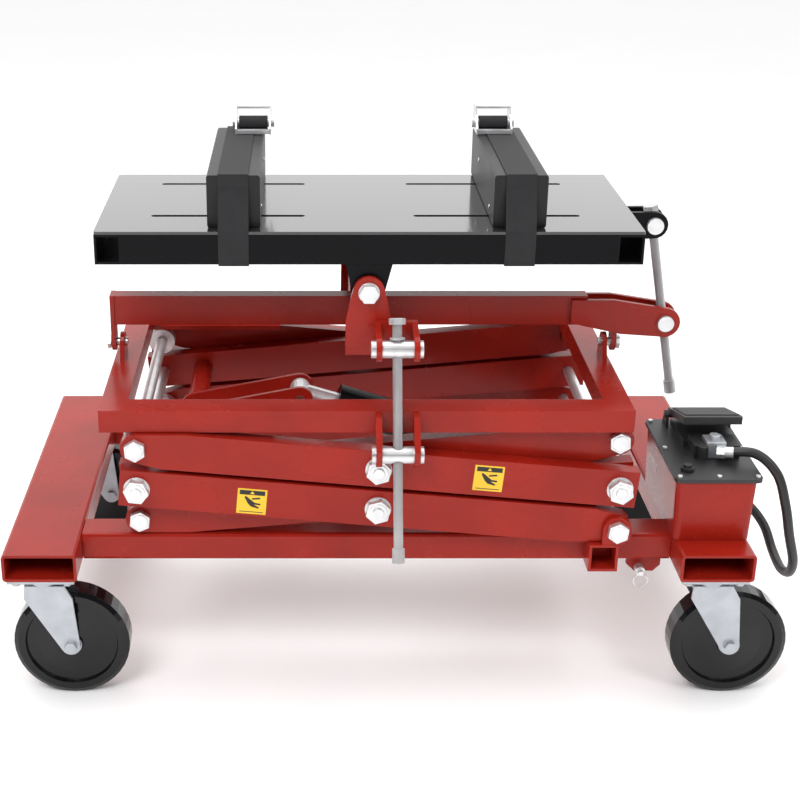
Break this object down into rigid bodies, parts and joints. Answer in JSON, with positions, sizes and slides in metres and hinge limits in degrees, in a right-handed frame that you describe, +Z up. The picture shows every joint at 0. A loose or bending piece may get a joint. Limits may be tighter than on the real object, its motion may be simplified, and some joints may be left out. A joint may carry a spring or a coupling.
{
  "type": "scissor lift table",
  "caption": "Mobile scissor lift table with foot pump, pitching and rolling table top, padded blocks and swivel casters for lifting powertrains.",
  "frame": {"origin": "on the floor, midway between the legs and midway front to back", "axes": "+X to the pump side, +Y to the rear, +Z up"},
  "size_m": [1.389, 0.7529, 0.9512],
  "materials": {
    "red_paint": "gloss powder coat",
    "black_paint": "satin",
    "black_gloss": "gloss",
    "zinc": "zinc plated",
    "steel": "bright plated",
    "wheel_black": "gloss",
    "hose_rubber": "satin",
    "block_vinyl": "padded vinyl",
    "webbing": "woven",
    "black_plastic": "matte"
  },
  "bodies": {
    "base": {"leg_left": "red_paint", "leg_right": "red_paint", "front_rail": "red_paint", "rear_rail": "red_paint", "base_cross_tube": "red_paint", "shaft_r0": "steel", "pump_reservoir": "red_paint", "pump_unit": "black_plastic", "pump_hose": "hose_rubber"},
    "caster_fork_left_front": {"caster_fork_left_front": "zinc"},
    "wheel_left_front": {"wheel_left_front": "wheel_black"},
    "caster_fork_left_rear": {"caster_fork_left_rear": "zinc"},
    "wheel_left_rear": {"wheel_left_rear": "wheel_black"},
    "caster_fork_right_front": {"caster_fork_right_front": "zinc"},
    "wheel_right_front": {"wheel_right_front": "wheel_black"},
    "caster_fork_right_rear": {"caster_fork_right_rear": "zinc"},
    "wheel_right_rear": {"wheel_right_rear": "wheel_black"},
    "outer_lower": {"arm_outer_lower_front": "red_paint", "arm_outer_lower_rear": "red_paint", "shaft_l1": "steel"},
    "inner_lower": {"arm_inner_lower_front": "red_paint", "arm_inner_lower_rear": "red_paint", "shaft_l0": "steel", "shaft_r1": "steel"},
    "inner_upper": {"arm_inner_upper_front": "red_paint", "arm_inner_upper_rear": "red_paint", "shaft_r2": "steel", "lift_lever": "red_paint"},
    "outer_upper": {"arm_outer_upper_front": "red_paint", "arm_outer_upper_rear": "red_paint", "shaft_l2": "steel"},
    "top_frame": {"top_frame": "red_paint", "tilt_bolt_left": "steel", "tilt_bolt_right": "steel", "trunnion_front_lower": "steel"},
    "roller_l0_front": {"roller_l0_front": "steel"},
    "roller_l0_rear": {"roller_l0_rear": "steel"},
    "roller_l2_front": {"roller_l2_front": "steel"},
    "roller_l2_rear": {"roller_l2_rear": "steel"},
    "cylinder_barrel": {"cylinder_barrel": "black_paint"},
    "cylinder_rod": {"cylinder_rod": "steel"},
    "pitch_beam": {"pitch_beam": "red_paint", "roll_shaft": "steel", "trunnion_right_lower": "steel"},
    "table": {"table_frame": "black_paint", "table_top": "black_gloss", "block_left": "block_vinyl", "block_right": "block_vinyl", "strap_left": "webbing", "strap_right": "webbing", "ratchet_left": "steel", "ratchet_right": "steel"},
    "trunnion_front_upper": {"trunnion_front_upper": "steel"},
    "screw_front": {"screw_front": "steel"},
    "trunnion_right_upper": {"trunnion_right_upper": "steel"},
    "screw_right": {"screw_right": "steel"},
    "treadle": {"treadle": "black_plastic"}
  },
  "joints": [
    {"name": "swivel_left_front", "type": "hinge", "parent": "base", "child": "caster_fork_left_front", "pos_m": [-0.5765, -0.3, 0.222], "axis": [0, 0, 1], "continuous": true},
    {"name": "spin_left_front", "type": "hinge", "parent": "caster_fork_left_front", "child": "wheel_left_front", "pos_m": [-0.5345, -0.3, 0.1016], "axis": [0, 1, 0], "continuous": true},
    {"name": "swivel_left_rear", "type": "hinge", "parent": "base", "child": "caster_fork_left_rear", "pos_m": [-0.5765, 0.301, 0.222], "axis": [0, 0, 1], "continuous": true},
    {"name": "spin_left_rear", "type": "hinge", "parent": "caster_fork_left_rear", "child": "wheel_left_rear", "pos_m": [-0.5345, 0.301, 0.1016], "axis": [0, 1, 0], "continuous": true},
    {"name": "swivel_right_front", "type": "hinge", "parent": "base", "child": "caster_fork_right_front", "pos_m": [0.5765, -0.3, 0.222], "axis": [0, 0, 1], "continuous": true},
    {"name": "spin_right_front", "type": "hinge", "parent": "caster_fork_right_front", "child": "wheel_right_front", "pos_m": [0.6185, -0.3, 0.1016], "axis": [0, 1, 0], "continuous": true},
    {"name": "swivel_right_rear", "type": "hinge", "parent": "base", "child": "caster_fork_right_rear", "pos_m": [0.5765, 0.301, 0.222], "axis": [0, 0, 1], "continuous": true},
    {"name": "spin_right_rear", "type": "hinge", "parent": "caster_fork_right_rear", "child": "wheel_right_rear", "pos_m": [0.6185, 0.301, 0.1016], "axis": [0, 1, 0], "continuous": true},
    {"name": "lift", "type": "hinge", "parent": "base", "child": "outer_lower", "pos_m": [0.4085, 0, 0.319], "axis": [0, 1, 0], "range_deg": [0, 35]},
    {"name": "scissor_lower", "type": "hinge", "parent": "outer_lower", "child": "inner_lower", "pos_m": [-0.00085, 0, 0.356], "axis": [0, 1, 0], "range_deg": [-70.1, 0]},
    {"name": "scissor_mid", "type": "hinge", "parent": "outer_lower", "child": "inner_upper", "pos_m": [-0.4102, 0, 0.393], "axis": [0, 1, 0], "range_deg": [-70.1, 0]},
    {"name": "scissor_upper", "type": "hinge", "parent": "inner_upper", "child": "outer_upper", "pos_m": [-0.00085, 0, 0.43], "axis": [0, 1, 0], "range_deg": [0, 70.1]},
    {"name": "scissor_top", "type": "hinge", "parent": "inner_upper", "child": "top_frame", "pos_m": [0.4085, 0, 0.467], "axis": [0, 1, 0], "range_deg": [0, 35.1]},
    {"name": "roll_l0_front", "type": "hinge", "parent": "inner_lower", "child": "roller_l0_front", "pos_m": [-0.4102, -0.2265, 0.319], "axis": [0, 1, 0], "continuous": true},
    {"name": "roll_l0_rear", "type": "hinge", "parent": "inner_lower", "child": "roller_l0_rear", "pos_m": [-0.4102, 0.2265, 0.319], "axis": [0, 1, 0], "continuous": true},
    {"name": "roll_l2_front", "type": "hinge", "parent": "outer_upper", "child": "roller_l2_front", "pos_m": [-0.4102, -0.2265, 0.467], "axis": [0, 1, 0], "continuous": true},
    {"name": "roll_l2_rear", "type": "hinge", "parent": "outer_upper", "child": "roller_l2_rear", "pos_m": [-0.4102, 0.2265, 0.467], "axis": [0, 1, 0], "continuous": true},
    {"name": "cylinder_swing", "type": "hinge", "parent": "base", "child": "cylinder_barrel", "pos_m": [0.345, 0, 0.3], "axis": [0, 1, 0], "range_deg": [0, 47.19]},
    {"name": "cylinder_slide", "type": "slide", "parent": "cylinder_barrel", "child": "cylinder_rod", "axis": [-0.9566, 0, 0.2916], "range_m": [0, 0.338]},
    {"name": "pitch", "type": "hinge", "parent": "top_frame", "child": "pitch_beam", "pos_m": [0, -0.04, 0.562], "axis": [1, 0, 0], "range_deg": [-5, 10]},
    {"name": "roll", "type": "hinge", "parent": "pitch_beam", "child": "table", "pos_m": [-0.018, 0, 0.7126], "axis": [0, 1, 0], "range_deg": [-6, 4]},
    {"name": "front_swing", "type": "hinge", "parent": "pitch_beam", "child": "trunnion_front_upper", "pos_m": [0.027, -0.285, 0.638], "axis": [1, 0, 0], "range_deg": [-10.6, 5.4]},
    {"name": "right_swing", "type": "hinge", "parent": "table", "child": "trunnion_right_upper", "pos_m": [0.485, -0.04, 0.785], "axis": [0, 1, 0], "range_deg": [-4.4, 6.4]},
    {"name": "front_screw_turn", "type": "hinge", "parent": "trunnion_front_upper", "child": "screw_front", "pos_m": [0.027, -0.285, 0.638], "axis": [0.0114, -0.2852, -0.9584], "continuous": true},
    {"name": "right_screw_turn", "type": "hinge", "parent": "trunnion_right_upper", "child": "screw_right", "pos_m": [0.485, -0.04, 0.785], "axis": [0.1856, 0, -0.9826], "continuous": true},
    {"name": "treadle_press", "type": "hinge", "parent": "base", "child": "treadle", "pos_m": [0.5915, -0.072, 0.429], "axis": [1, 0, 0], "range_deg": [0, 8], "stiffness_Nm_per_rad": 12, "springref_deg": -28.65}
  ],
  "couplings": [
    {"joint": "scissor_lower", "follows": "lift", "ratio": -2},
    {"joint": "scissor_mid", "follows": "lift", "ratio": -2},
    {"joint": "scissor_upper", "follows": "lift", "ratio": 2},
    {"joint": "scissor_top", "follows": "lift", "ratio": 1},
    {"joint": "cylinder_swing", "follows": "lift", "ratio": 1.3398},
    {"joint": "cylinder_slide", "follows": "lift", "m_per_rad": 0.54999},
    {"joint": "front_swing", "follows": "pitch", "ratio": -1.05},
    {"joint": "right_swing", "follows": "roll", "ratio": -1.05}
  ]
}
